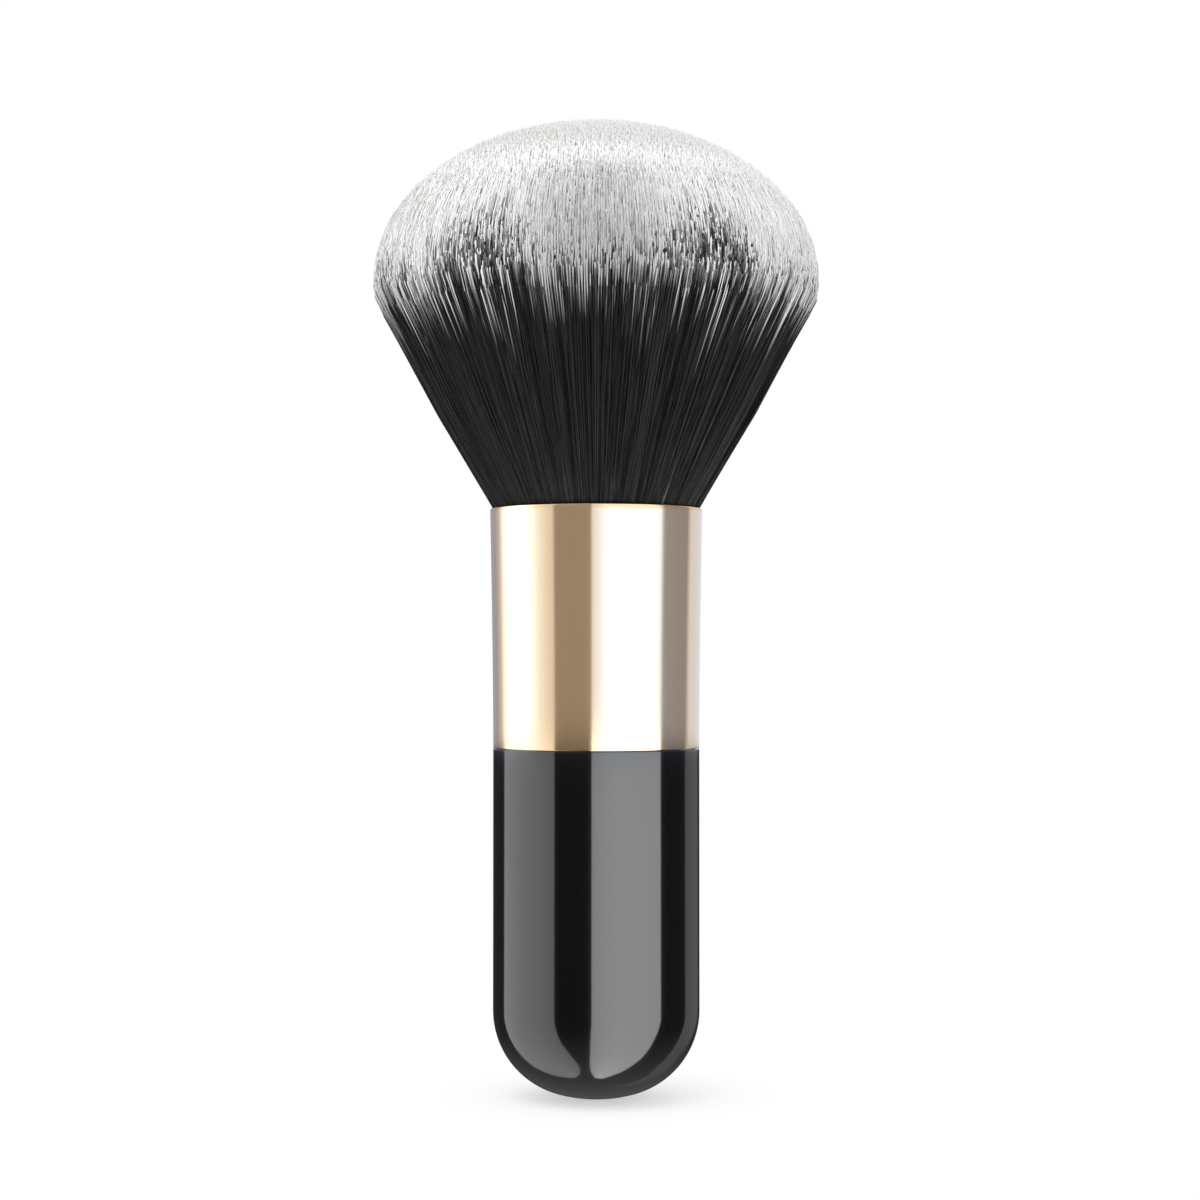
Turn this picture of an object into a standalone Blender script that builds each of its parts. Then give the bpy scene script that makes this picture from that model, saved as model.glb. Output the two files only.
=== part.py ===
"""Powder brush: a turned handle, a drawn ferrule and a domed head of bristles that fans out of it.

The brush stands along +Z with its bristles up. The origin is the lowest point of the handle's domed
end, on the axis. All lengths are in metres.
"""

import math

import bmesh
import bpy
from mathutils import Vector

COLLECTION_NAME = "powder_brush"
CUTTER_COLLECTION_NAME = "powder_brush_helpers"

# Clearance between neighbouring pieces, and how far shapes that are joined run into each other.
CLEARANCE = 0.0003
JOIN_OVERLAP = 0.0006
MERGE_DISTANCE = 0.000001

# Handle: a straight barrel that closes in a soft knuckle and a flatter crown.
HANDLE_RADIUS = 0.0138
HANDLE_LENGTH = 0.0464
HANDLE_CROWN_RADIUS = 0.020
HANDLE_KNUCKLE_RADIUS = 0.0114
HANDLE_SHOULDER_ROUND = 0.0003

# Spigot: the part of the handle that goes up inside the ferrule, with a groove for the adhesive.
SPIGOT_LENGTH = 0.0105
SPIGOT_CHAMFER = 0.0008
GROOVE_DEPTH = 0.0010
GROOVE_WIDTH = 0.0035
GROOVE_ABOVE_SHOULDER = 0.0035

# Ferrule: a thin drawn tube, flush with the handle at its foot and wider by the flare at its mouth.
FERRULE_LENGTH = 0.0320
FERRULE_FLARE = 0.00044
FERRULE_WALL = 0.0005

# Resin: the soaked root of the bristles lies this deep below the mouth, on a plug that fills the
# ferrule down to the spigot.
ROOT_DEPTH = 0.0078
ROOT_THICKNESS = 0.0040

# Bristle head: strands on rings, one at the centre and one more for each sector on every ring outwards.
# Each strand stands for a lock of filaments, so it spreads as the head fans out, then runs to a point.
RING_COUNT = 11
CORE_RING_COUNT = 4
SECTOR_COUNT = 6
# The first sector starts this far round from +X, in degrees.
SECTOR_START_ANGLE = 15.0
HEAD_RADIUS = 0.02975
HEAD_WIDEST_ABOVE_MOUTH = 0.0305
HEAD_DOME_HEIGHT = 0.0208
# The outermost tips lie this far round the dome from its top, in degrees.
HEAD_LAST_TIP_ANGLE = 94.0
STRAND_BEND_DEPTH = 0.0003
# Radii of a strand at its root and its shoulder, and its margin at the root's edge, as shares of the
# pitch; the shoulder's place as a share of the free length; the swing of the tips as a share of the
# step round the ring, one way on even rings and the other way on odd ones.
STRAND_ROOT_SHARE = 0.33
STRAND_SHOULDER_SHARE = 0.72
STRAND_MARGIN_SHARE = 0.10
STRAND_SHOULDER_PLACE_SHARE = 0.87
TIP_SWING_SHARE = 0.22
# Filaments are black at the root and turn white over this share of the dome's height, either side of
# its base.
ROOT_COLOUR = (0.030, 0.030, 0.032)
TIP_COLOUR = (0.82, 0.81, 0.80)
FADE_SHARE = 0.3

# Facets round the axis, and along the arcs of the profiles.
OUTER_STEPS = 64
INNER_STEPS = 32
CROWN_STEPS = 4
KNUCKLE_STEPS = 7
SHOULDER_STEPS = 3
EDGE_STEPS = 4
SECTOR_ARC_STEPS = 5
STRAND_SIDES = 3
SHARP_ANGLE = 35.0

FERRULE_FOOT_Z = HANDLE_LENGTH + CLEARANCE
FERRULE_MOUTH_Z = FERRULE_FOOT_Z + FERRULE_LENGTH
SPIGOT_TOP_Z = HANDLE_LENGTH + SPIGOT_LENGTH
ROOT_TOP_Z = FERRULE_MOUTH_Z - ROOT_DEPTH
ROOT_BOTTOM_Z = ROOT_TOP_Z - ROOT_THICKNESS
PLUG_TOP_Z = ROOT_BOTTOM_Z - CLEARANCE
PLUG_BOTTOM_Z = SPIGOT_TOP_Z + CLEARANCE
FERRULE_FOOT_RADIUS = HANDLE_RADIUS
FERRULE_MOUTH_RADIUS = FERRULE_FOOT_RADIUS + FERRULE_FLARE


def ferrule_bore(z):
    """The radius of the ferrule's bore at a height, on the straight line from its foot to its mouth."""
    along = (z - FERRULE_FOOT_Z) / FERRULE_LENGTH
    outside = FERRULE_FOOT_RADIUS + along * FERRULE_FLARE
    return outside - FERRULE_WALL


SPIGOT_RADIUS = ferrule_bore(FERRULE_FOOT_Z) - CLEARANCE
GROOVE_BOTTOM_Z = HANDLE_LENGTH + GROOVE_ABOVE_SHOULDER
GROOVE_TOP_Z = GROOVE_BOTTOM_Z + GROOVE_WIDTH
GROOVE_RADIUS = SPIGOT_RADIUS - GROOVE_DEPTH
ROOT_RADIUS = ferrule_bore(ROOT_BOTTOM_Z) - CLEARANCE
# The outermost ring stands inside the root's edge by the strand's own radius and the margin.
STRAND_PITCH = ROOT_RADIUS / (RING_COUNT + STRAND_ROOT_SHARE + STRAND_MARGIN_SHARE)
CORE_RADIUS = STRAND_PITCH * (CORE_RING_COUNT + 0.5)
HEAD_CENTRE_Z = FERRULE_MOUTH_Z + HEAD_WIDEST_ABOVE_MOUTH


def clear_scene():
    for obj in list(bpy.data.objects):
        bpy.data.objects.remove(obj)


def new_collection(name):
    collection = bpy.data.collections.new(name)
    bpy.context.scene.collection.children.link(collection)
    return collection


def plain_material(name, colour, roughness, metallic=0.0, coat=0.0):
    material = bpy.data.materials.new(name)
    material.use_nodes = True
    shader = material.node_tree.nodes["Principled BSDF"]
    shader.inputs["Base Color"].default_value = (*colour, 1.0)
    shader.inputs["Roughness"].default_value = roughness
    shader.inputs["Metallic"].default_value = metallic
    shader.inputs["Coat Weight"].default_value = coat
    return material


def bristle_material(name):
    """Black filaments that turn white towards the dome."""
    material = plain_material(name, ROOT_COLOUR, 0.6)
    nodes = material.node_tree.nodes
    links = material.node_tree.links
    place = nodes.new("ShaderNodeTexCoord")
    split = nodes.new("ShaderNodeSeparateXYZ")
    height = nodes.new("ShaderNodeMapRange")
    height.inputs["From Min"].default_value = HEAD_CENTRE_Z - FADE_SHARE * HEAD_DOME_HEIGHT
    height.inputs["From Max"].default_value = HEAD_CENTRE_Z + FADE_SHARE * HEAD_DOME_HEIGHT
    fade = nodes.new("ShaderNodeMix")
    fade.data_type = "RGBA"
    fade.inputs["A"].default_value = (*ROOT_COLOUR, 1.0)
    fade.inputs["B"].default_value = (*TIP_COLOUR, 1.0)
    links.new(place.outputs["Object"], split.inputs["Vector"])
    links.new(split.outputs["Z"], height.inputs["Value"])
    links.new(height.outputs["Result"], fade.inputs["Factor"])
    links.new(fade.outputs["Result"], nodes["Principled BSDF"].inputs["Base Color"])
    return material


def arc(centre, radius, start, end, steps):
    """Points (r, z) on an arc about centre, from one angle to another in radians, ends included."""
    points = []
    for step in range(steps + 1):
        angle = start + (end - start) * step / steps
        points.append((centre[0] + radius * math.cos(angle), centre[1] + radius * math.sin(angle)))
    return points


def evaluated_mesh(obj):
    """The object's mesh with its modifiers applied."""
    graph = bpy.context.evaluated_depsgraph_get()
    return bpy.data.meshes.new_from_object(obj.evaluated_get(graph))


def smooth(mesh):
    mesh.shade_smooth()
    mesh.set_sharp_from_angle(angle=math.radians(SHARP_ANGLE))


def turned(name, profile, steps, closed, material, collection):
    """A solid of revolution about Z from (r, z) points that run down the outer side, top to bottom."""
    mesh = bpy.data.meshes.new(name)
    bm = bmesh.new()
    corners = [bm.verts.new((r, 0.0, z)) for r, z in profile]
    for first, second in zip(corners, corners[1:]):
        bm.edges.new((first, second))
    if closed:
        bm.edges.new((corners[-1], corners[0]))
    bm.to_mesh(mesh)
    bm.free()
    obj = bpy.data.objects.new(name, mesh)
    collection.objects.link(obj)
    screw = obj.modifiers.new("turn", "SCREW")
    screw.axis = "Z"
    screw.angle = math.tau
    screw.steps = steps
    screw.render_steps = steps
    screw.use_merge_vertices = True
    screw.merge_threshold = MERGE_DISTANCE
    finished = evaluated_mesh(obj)
    obj.modifiers.clear()
    obj.data = finished
    finished.name = name
    bpy.data.meshes.remove(mesh)
    smooth(finished)
    finished.materials.append(material)
    return obj


def handle_profile():
    """The barrel with its domed end, and the grooved spigot above its shoulder."""
    knuckle = min(HANDLE_KNUCKLE_RADIUS, HANDLE_RADIUS)
    inset = HANDLE_RADIUS - knuckle
    reach = HANDLE_CROWN_RADIUS - knuckle
    knuckle_z = HANDLE_CROWN_RADIUS - math.sqrt(reach**2 - inset**2)
    meeting = -math.atan2(HANDLE_CROWN_RADIUS - knuckle_z, inset)
    shoulder = (HANDLE_RADIUS - HANDLE_SHOULDER_ROUND, HANDLE_LENGTH - HANDLE_SHOULDER_ROUND)
    points = [
        (0.0, SPIGOT_TOP_Z),
        (SPIGOT_RADIUS - SPIGOT_CHAMFER, SPIGOT_TOP_Z),
        (SPIGOT_RADIUS, SPIGOT_TOP_Z - SPIGOT_CHAMFER),
        (SPIGOT_RADIUS, GROOVE_TOP_Z),
        (GROOVE_RADIUS, GROOVE_TOP_Z),
        (GROOVE_RADIUS, GROOVE_BOTTOM_Z),
        (SPIGOT_RADIUS, GROOVE_BOTTOM_Z),
        (SPIGOT_RADIUS, HANDLE_LENGTH),
    ]
    points += arc(shoulder, HANDLE_SHOULDER_ROUND, math.pi / 2, 0.0, SHOULDER_STEPS)
    points += arc((inset, knuckle_z), knuckle, 0.0, meeting, KNUCKLE_STEPS)
    points += arc((0.0, HANDLE_CROWN_RADIUS), HANDLE_CROWN_RADIUS, meeting, -math.pi / 2, CROWN_STEPS)[1:-1]
    points.append((0.0, 0.0))
    return points


def make_handle(collection):
    material = plain_material("gloss_black_lacquer", (0.004, 0.004, 0.005), 0.06, coat=1.0)
    return turned("handle", handle_profile(), OUTER_STEPS, False, material, collection)


def make_adhesive(collection):
    """The bead that fills the spigot's groove out to the ferrule's bore."""
    inner = GROOVE_RADIUS + CLEARANCE
    outer = ferrule_bore(GROOVE_BOTTOM_Z) - CLEARANCE
    top = GROOVE_TOP_Z - CLEARANCE
    bottom = GROOVE_BOTTOM_Z + CLEARANCE
    profile = [(outer, top), (outer, bottom), (inner, bottom), (inner, top)]
    material = plain_material("cured_adhesive", (0.62, 0.52, 0.30), 0.35)
    return turned("handle_adhesive", profile, INNER_STEPS, True, material, collection)


def make_ferrule(collection):
    """The tube, with both of its edges rounded over the whole wall."""
    edge = FERRULE_WALL / 2
    foot_middle = (FERRULE_FOOT_RADIUS - edge, FERRULE_FOOT_Z + edge)
    mouth_middle = (FERRULE_MOUTH_RADIUS - edge, FERRULE_MOUTH_Z - edge)
    profile = arc(mouth_middle, edge, math.pi, 0.0, EDGE_STEPS)
    profile += arc(foot_middle, edge, 0.0, -math.pi, EDGE_STEPS)
    material = plain_material("champagne_gold", (0.80, 0.61, 0.38), 0.12, metallic=1.0)
    return turned("ferrule", profile, OUTER_STEPS, True, material, collection)


def make_plug(collection):
    radius = ferrule_bore(PLUG_BOTTOM_Z) - CLEARANCE
    profile = [(0.0, PLUG_TOP_Z), (radius, PLUG_TOP_Z), (radius, PLUG_BOTTOM_Z), (0.0, PLUG_BOTTOM_Z)]
    material = plain_material("potting_resin", (0.55, 0.42, 0.20), 0.25)
    return turned("resin_plug", profile, INNER_STEPS, False, material, collection)


def strand_path(ring, angle):
    """Points and radii of one strand: straight up through the root, out at the mouth, to the dome."""
    share = ring / RING_COUNT
    root_r = ring * STRAND_PITCH
    tip_angle = math.radians(HEAD_LAST_TIP_ANGLE) * share
    bend_z = FERRULE_MOUTH_Z - STRAND_BEND_DEPTH
    tip_r = HEAD_RADIUS * math.sin(tip_angle)
    tip_z = HEAD_CENTRE_Z + HEAD_DOME_HEIGHT * math.cos(tip_angle)
    swing = 0.0
    if ring > 0:
        swing = (-1) ** ring * TIP_SWING_SHARE * math.tau / (SECTOR_COUNT * ring)
    root = Vector((root_r * math.cos(angle), root_r * math.sin(angle), ROOT_TOP_Z - JOIN_OVERLAP))
    bend = Vector((root.x, root.y, bend_z))
    tip = Vector((tip_r * math.cos(angle + swing), tip_r * math.sin(angle + swing), tip_z))
    shoulder = bend.lerp(tip, STRAND_SHOULDER_PLACE_SHARE)
    root_size = STRAND_ROOT_SHARE * STRAND_PITCH
    shoulder_size = STRAND_SHOULDER_SHARE * STRAND_PITCH
    return [(root, root_size), (bend, root_size), (shoulder, shoulder_size), (tip, 0.0)]


def ring_angles(ring, sectors):
    """The angles of a ring's strands over so many sectors, half a step off the sectors' sides."""
    if ring == 0:
        return [0.0]
    step = math.tau / (SECTOR_COUNT * ring)
    return [(index + 0.5) * step for index in range(ring * sectors)]


def strand_section(collection):
    """The flat outline that is swept along every strand, on a circle of radius 1."""
    curve = bpy.data.curves.new("strand_section", "CURVE")
    curve.dimensions = "2D"
    spline = curve.splines.new("POLY")
    spline.points.add(STRAND_SIDES - 1)
    spline.use_cyclic_u = True
    for index, point in enumerate(spline.points):
        angle = math.tau * index / STRAND_SIDES
        point.co = (math.cos(angle), math.sin(angle), 0.0, 1.0)
    section = bpy.data.objects.new("strand_section", curve)
    section.hide_render = True
    section.display_type = "WIRE"
    collection.objects.link(section)
    return section


def mesh_of_curve(curve_object):
    """The curve's mesh with its loose caps welded on and its faces turned outwards."""
    mesh = evaluated_mesh(curve_object)
    bm = bmesh.new()
    bm.from_mesh(mesh)
    bmesh.ops.remove_doubles(bm, verts=bm.verts, dist=MERGE_DISTANCE)
    bmesh.ops.dissolve_degenerate(bm, dist=MERGE_DISTANCE, edges=bm.edges)
    bmesh.ops.recalc_face_normals(bm, faces=bm.faces)
    bm.to_mesh(mesh)
    bm.free()
    return mesh


def strands_mesh(name, rings, sectors, section, helpers):
    """All strands of the given rings as separate closed tubes, swept by one curve."""
    curve = bpy.data.curves.new(name, "CURVE")
    curve.dimensions = "3D"
    curve.bevel_mode = "OBJECT"
    curve.bevel_object = section
    curve.use_fill_caps = True
    for ring in rings:
        for angle in ring_angles(ring, sectors):
            path = strand_path(ring, angle)
            spline = curve.splines.new("POLY")
            spline.points.add(len(path) - 1)
            for point, (place, radius) in zip(spline.points, path):
                point.co = (*place, 1.0)
                point.radius = radius
    swept = bpy.data.objects.new(name, curve)
    helpers.objects.link(swept)
    mesh = mesh_of_curve(swept)
    bpy.data.objects.remove(swept)
    return mesh


def sector_outline():
    """The plan of one sixth of the root, between the core and the ferrule, clear of its neighbours."""
    span = math.tau / SECTOR_COUNT
    half_gap = CLEARANCE / 2
    points = []
    for radius, forward in ((CORE_RADIUS + half_gap, False), (ROOT_RADIUS, True)):
        margin = math.asin(half_gap / radius)
        angles = [
            margin + (span - 2 * margin) * step / SECTOR_ARC_STEPS for step in range(SECTOR_ARC_STEPS + 1)
        ]
        if not forward:
            angles.reverse()
        points += [(radius * math.cos(angle), radius * math.sin(angle)) for angle in angles]
    return points


def root_slice_mesh(name, outline, helpers):
    """A flat slice of the resin root with the given plan."""
    curve = bpy.data.curves.new(name, "CURVE")
    curve.dimensions = "2D"
    curve.fill_mode = "BOTH"
    curve.extrude = ROOT_THICKNESS / 2
    spline = curve.splines.new("POLY")
    spline.points.add(len(outline) - 1)
    spline.use_cyclic_u = True
    for point, (x, y) in zip(spline.points, outline):
        point.co = (x, y, 0.0, 1.0)
    flat = bpy.data.objects.new(name, curve)
    helpers.objects.link(flat)
    mesh = mesh_of_curve(flat)
    bpy.data.objects.remove(flat)
    for vertex in mesh.vertices:
        vertex.co.z += (ROOT_BOTTOM_Z + ROOT_TOP_Z) / 2
    return mesh


def bristle_mesh(name, outline, rings, sectors, section, helpers):
    """A slice of the root and the strands that stand in it, joined into one closed mesh."""
    root = bpy.data.objects.new(name + "_root", root_slice_mesh(name + "_root", outline, helpers))
    strands_data = strands_mesh(name + "_strands", rings, sectors, section, helpers)
    strands = bpy.data.objects.new(name + "_strands", strands_data)
    for obj in (root, strands):
        obj.hide_render = True
        obj.display_type = "WIRE"
        helpers.objects.link(obj)
    join = root.modifiers.new("join strands", "BOOLEAN")
    join.operation = "UNION"
    join.solver = "EXACT"
    join.object = strands
    mesh = evaluated_mesh(root)
    mesh.name = name
    bpy.data.objects.remove(root)
    bpy.data.objects.remove(strands)
    smooth(mesh)
    return mesh


def make_bristles(collection, helpers):
    section = strand_section(helpers)
    material = bristle_material("two_tone_filament")

    core_radius = CORE_RADIUS - CLEARANCE / 2
    core_outline = arc((0.0, 0.0), core_radius, 0.0, math.tau, SECTOR_COUNT * SECTOR_ARC_STEPS)[:-1]
    core_rings = range(CORE_RING_COUNT + 1)
    core_mesh = bristle_mesh("bristle_core", core_outline, core_rings, SECTOR_COUNT, section, helpers)
    core_mesh.materials.append(material)
    collection.objects.link(bpy.data.objects.new("bristle_core", core_mesh))

    sector_rings = range(CORE_RING_COUNT + 1, RING_COUNT + 1)
    sector_mesh = bristle_mesh("bristle_sector", sector_outline(), sector_rings, 1, section, helpers)
    sector_mesh.materials.append(material)
    for index in range(SECTOR_COUNT):
        sector = bpy.data.objects.new(f"bristle_sector_{index + 1}", sector_mesh)
        sector.rotation_euler.z = math.radians(SECTOR_START_ANGLE) + math.tau * index / SECTOR_COUNT
        collection.objects.link(sector)


def main():
    clear_scene()
    collection = new_collection(COLLECTION_NAME)
    helpers = new_collection(CUTTER_COLLECTION_NAME)
    make_handle(collection)
    make_adhesive(collection)
    make_ferrule(collection)
    make_plug(collection)
    make_bristles(collection, helpers)


main()
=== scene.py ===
import math
from functools import partial

import bmesh
import bpy
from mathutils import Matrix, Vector


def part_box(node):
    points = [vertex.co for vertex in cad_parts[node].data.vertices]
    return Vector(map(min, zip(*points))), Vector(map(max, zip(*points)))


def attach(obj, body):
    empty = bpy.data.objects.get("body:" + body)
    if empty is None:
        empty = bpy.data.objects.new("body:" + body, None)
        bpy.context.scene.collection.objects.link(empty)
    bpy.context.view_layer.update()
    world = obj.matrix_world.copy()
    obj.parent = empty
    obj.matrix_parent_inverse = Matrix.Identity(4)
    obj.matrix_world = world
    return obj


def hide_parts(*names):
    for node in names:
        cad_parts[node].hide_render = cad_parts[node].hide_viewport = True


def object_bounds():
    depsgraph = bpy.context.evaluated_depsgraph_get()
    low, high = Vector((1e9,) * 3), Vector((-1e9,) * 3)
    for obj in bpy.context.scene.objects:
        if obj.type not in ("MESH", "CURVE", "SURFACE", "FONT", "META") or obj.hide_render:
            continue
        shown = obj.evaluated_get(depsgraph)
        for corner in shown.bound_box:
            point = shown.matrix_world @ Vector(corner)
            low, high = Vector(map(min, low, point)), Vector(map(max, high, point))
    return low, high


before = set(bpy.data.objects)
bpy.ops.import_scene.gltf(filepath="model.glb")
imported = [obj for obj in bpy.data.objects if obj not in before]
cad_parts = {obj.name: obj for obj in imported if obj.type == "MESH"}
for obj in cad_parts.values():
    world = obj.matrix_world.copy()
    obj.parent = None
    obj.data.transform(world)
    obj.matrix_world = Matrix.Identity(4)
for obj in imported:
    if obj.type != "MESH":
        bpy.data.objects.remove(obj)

bl_info = {
    "name": "Powder Brush",
    "version": (1, 0, 0),
    "blender": (4, 5, 0),
    "location": "3D View > Sidebar > Brush",
    "description": "Dresses the packed powder brush with lacquer, gold and bristles, and lights it",
    "category": "Object",
}

MM = 0.001
CAD_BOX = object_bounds()
HANDLE_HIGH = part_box("handle")[1]
FERRULE_LOW, FERRULE_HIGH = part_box("ferrule")
PLUG_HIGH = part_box("resin_plug")[1]
CORE_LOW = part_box("bristle_core")[0]
SECTOR_COUNT = sum(name.startswith("bristle_sector_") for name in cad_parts)

# The clearance that the CAD model keeps between touching pieces, and the closer one under the ferrule.
CLEARANCE = 0.3 * MM
SHOULDER_GAP = 0.1 * MM
# For turned pieces: the distance that closes a seam, the angle that counts as an edge, the steps round
# the axis and down a long side, and the short step that keeps a rounding's slant out of that side.
MERGE_DISTANCE = 0.001 * MM
SHARP_ANGLE = math.radians(35.0)
TURNING_SEGMENTS = 192
SIDE_STEPS = 60
EDGE_STEP = 0.03 * MM
GROOVE_DEPTH = 1.0 * MM
SPIGOT_CHAMFER = 0.8 * MM
# The ferrule leaves its foot straight up and flares more and more towards its mouth.
FLARE_POWER = 1.5

# The camera: where it stands from the brush's axis, its tilt and its lens.
CAMERA_PLACE = (0.5 * MM, -348.0 * MM, 58.4 * MM)
CAMERA_TILT = math.radians(1.33)
CAMERA_LENS = 77.8
CAMERA_SENSOR = 36.0

# The reflections that run down the handle and the ferrule: each card reaches from one azimuth to the
# next, in degrees to the right of the camera, and glows from one level to the other, in grey below and
# in red, green and blue above. The handle mirrors the lower cards and the ferrule the upper ones.
LOWER_CARDS = (
    (-180.0, -119.0, 0.02, 0.04),
    (-119.0, -93.6, 1.05, 1.35),
    (-93.6, -71.0, 1.35, 1.44),
    (-71.0, -44.9, 1.44, 1.20),
    (-44.9, -4.8, 0.04, 0.04),
    (-4.8, 4.3, 2.55, 2.85),
    (4.3, 26.2, 2.85, 3.15),
    (26.2, 49.3, 3.15, 3.00),
    (49.3, 72.7, 3.00, 2.70),
    (72.7, 112.4, 0.04, 0.04),
    (112.4, 150.8, 0.38, 0.14),
    (150.8, 180.0, 0.04, 0.02),
)
UPPER_CARDS = (
    (-180.0, -136.9, (0.36, 0.40, 0.50), (0.38, 0.42, 0.52)),
    (-136.9, -126.0, (0.40, 0.44, 0.55), (0.60, 0.66, 0.82)),
    (-126.0, -115.4, (0.60, 0.66, 0.82), (1.50, 1.60, 1.90)),
    (-115.4, -108.0, (1.50, 1.60, 1.90), (2.30, 2.40, 2.70)),
    (-108.0, -80.4, (2.30, 2.40, 2.70), (2.30, 2.40, 2.70)),
    (-80.4, -64.4, (2.30, 2.40, 2.70), (1.05, 1.28, 1.62)),
    (-64.4, -55.4, (1.05, 1.28, 1.62), (0.94, 1.03, 1.10)),
    (-55.4, -44.4, (0.94, 1.03, 1.10), (0.78, 0.78, 0.82)),
    (-44.4, -4.8, (0.35, 0.33, 0.31), (0.35, 0.33, 0.31)),
    (-4.8, 5.0, (0.85, 1.00, 1.25), (1.05, 1.34, 1.90)),
    (5.0, 10.0, (1.05, 1.34, 1.90), (1.30, 1.60, 2.45)),
    (10.0, 66.0, (1.30, 1.60, 2.45), (1.30, 1.60, 2.45)),
    (66.0, 72.7, (1.30, 1.60, 2.45), (1.00, 1.30, 1.90)),
    (72.7, 76.0, (0.60, 0.75, 1.05), (0.40, 0.48, 0.68)),
    (76.0, 114.0, (0.33, 0.39, 0.55), (0.30, 0.33, 0.42)),
    (114.0, 120.0, (0.42, 0.47, 0.58), (0.70, 0.80, 0.98)),
    (120.0, 180.0, (0.76, 0.88, 1.12), (0.76, 0.88, 1.12)),
)
# The cards are narrow strips of a sphere about the joint, near enough that the two sets stay apart in
# the gloss. The lower set changes to the upper one between two heights above the sphere's middle.
CARD_CENTRE = FERRULE_LOW.z
CARD_DISTANCE = 0.15
CARD_CHANGE_LOW = -4.98 * MM
CARD_CHANGE_HIGH = -4.86 * MM
CARD_STRIP = 4.0
INSIDE_STRIP = 0.001
# Where the lower cards' edges run at each elevation, in degrees, from the left card's outer edge to the
# rim card's. The left card ends at the elevation named after them.
LOWER_EDGES = (
    (50.0, (-119.0, -44.9, -4.8, 72.7, 112.4, 150.8)),
    (-20.0, (-119.0, -44.9, -4.8, 72.7, 112.4, 150.8)),
    (-40.0, (-116.5, -41.8, -6.3, 69.0, 109.0, 137.0)),
    (-56.0, (-114.0, -35.0, -8.0, 67.5, 110.0, 150.0)),
    (-67.0, (-108.0, -31.6, -11.0, 64.0, 131.0, 152.0)),
    (-74.0, (-100.0, -37.0, -13.0, 62.0, 140.0, 154.0)),
    (-77.0, (-94.0, -47.0, -14.0, 59.0, 143.0, 155.0)),
    (-79.0, (-82.0, -64.0, -14.0, 57.0, 145.0, 156.0)),
    (-86.0, (-80.0, -66.0, -6.0, 45.0, 150.0, 158.0)),
)
LEFT_CARD_END = -79.0
CARD_ELEVATIONS = (
    -86.0, -79.0, -77.0, -74.0, -67.0, -61.5, -56.0, -48.0, -40.0, -30.0, -20.0, -12.0, -6.0,
    math.degrees(math.asin(CARD_CHANGE_LOW / CARD_DISTANCE)),
    math.degrees(math.asin(CARD_CHANGE_HIGH / CARD_DISTANCE)),
    4.0, 12.0, 16.0, 24.0, 37.0, 50.0,
)
# Above the part that the ferrule mirrors, the cards have no tint that the bristles would take on.
NEUTRAL_START = 16.0
# The light that comes off the floor grows from one elevation down to the other.
UNDERSIDE_GLOW = 0.25
UNDERSIDE_START = -20.0
UNDERSIDE_END = -80.0
UNDERSIDE_CORNERS = 64

# The floor's half width, and how it fades into the white background: how much at least, and how far out.
FLOOR_REACH = 3.0
FLOOR_LEAST_FADE = 0.5
FLOOR_FADE_END = 0.030

# Filaments are drawn in rings out from the core, each ring in one piece for each sector: ring's name,
# shares of the root's radius where it starts and ends, points of a filament and steps of its straight
# stretch. The outer ones, which are seen at their full length, bend in more steps.
CORE_SHARE = 4.5 / 11.43
RINGS = (
    ("inner", CORE_SHARE, 0.60, 4, 1.0),
    ("middle", 0.60, 0.80, 4, 1.0),
    ("outer", 0.80, 1.1, 6, 2.0),
)
# Where the first sector starts round the axis, as in the CAD model.
FIRST_TURN = 15.0 / 360.0
# The resin root, which hides inside the ferrule.
ROOT_THICKNESS = 4.0 * MM
ROOT_CHAMFER = 0.2 * MM
# How far in from the root's and the mouth's edge the outermost filaments run, and how far below the
# root's top and the mouth's rim all of them start and begin to spread.
ROOT_INSET = 0.1 * MM
ROOT_DEPTH = 0.6 * MM
MOUTH_INSET = 0.14 * MM
MOUTH_DEPTH = 0.3 * MM
# Filaments are placed by the golden turn, each shaken by a small part of a turn.
FILAMENTS_IN_ALL = 81200
GOLDEN_TURN = (3.0 - math.sqrt(5.0)) / 2.0
SPIRAL_SHAKE = 0.0015
# No filament has more points than this, so each point gets a number of its own for its draws.
MOST_POINTS_EACH = 16
# How far along its straight stretch a filament's last point on it lies.
STRAIGHT_SHARE = 0.94
# How much a filament's own pull, stray and shortness move its straight stretch and its lying end's start.
STRAIGHT_WEIGHT = 0.2
LYING_WEIGHT = 0.4
# How far round lying ends are turned, so that one of their three flat sides faces outwards.
LYING_SPINS = (math.radians(8.0), math.radians(52.0))

# How much further than usual the black reaches, in millimetres, from the front and back at 0 to the two
# sides at 1: for filaments inside the head and for those at its rim, which it passes into over a range
# of shares of the root's radius.
BLACK_END_INSIDE = (
    (0.0, 5.7), (0.13, 5.3), (0.24, 4.5), (0.32, 3.0), (0.41, 1.5), (0.5, 0.5),
    (0.59, 0.5), (0.68, 0.0), (0.77, -0.5), (0.86, -1.5), (1.0, -3.5),
)
BLACK_END_AT_RIM = (
    (0.0, -1.5), (0.13, -1.6), (0.24, -1.0), (0.32, 1.4), (0.41, 3.4), (0.5, 4.8),
    (0.59, 3.4), (0.68, 0.2), (0.77, -3.2), (0.86, -2.5), (1.0, -3.5),
)
RIM_RANGE = (0.78, 0.92)
# How much earlier than usual the earliest filaments pale, on the same scale.
EARLY_WHITE = (
    (0.0, 1.2), (0.13, 1.4), (0.24, 3.2), (0.32, 2.4), (0.41, 3.8), (0.5, 4.6),
    (0.59, 3.2), (0.68, 2.6), (0.77, 1.5), (0.86, 1.5), (1.0, 1.0),
)
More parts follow.
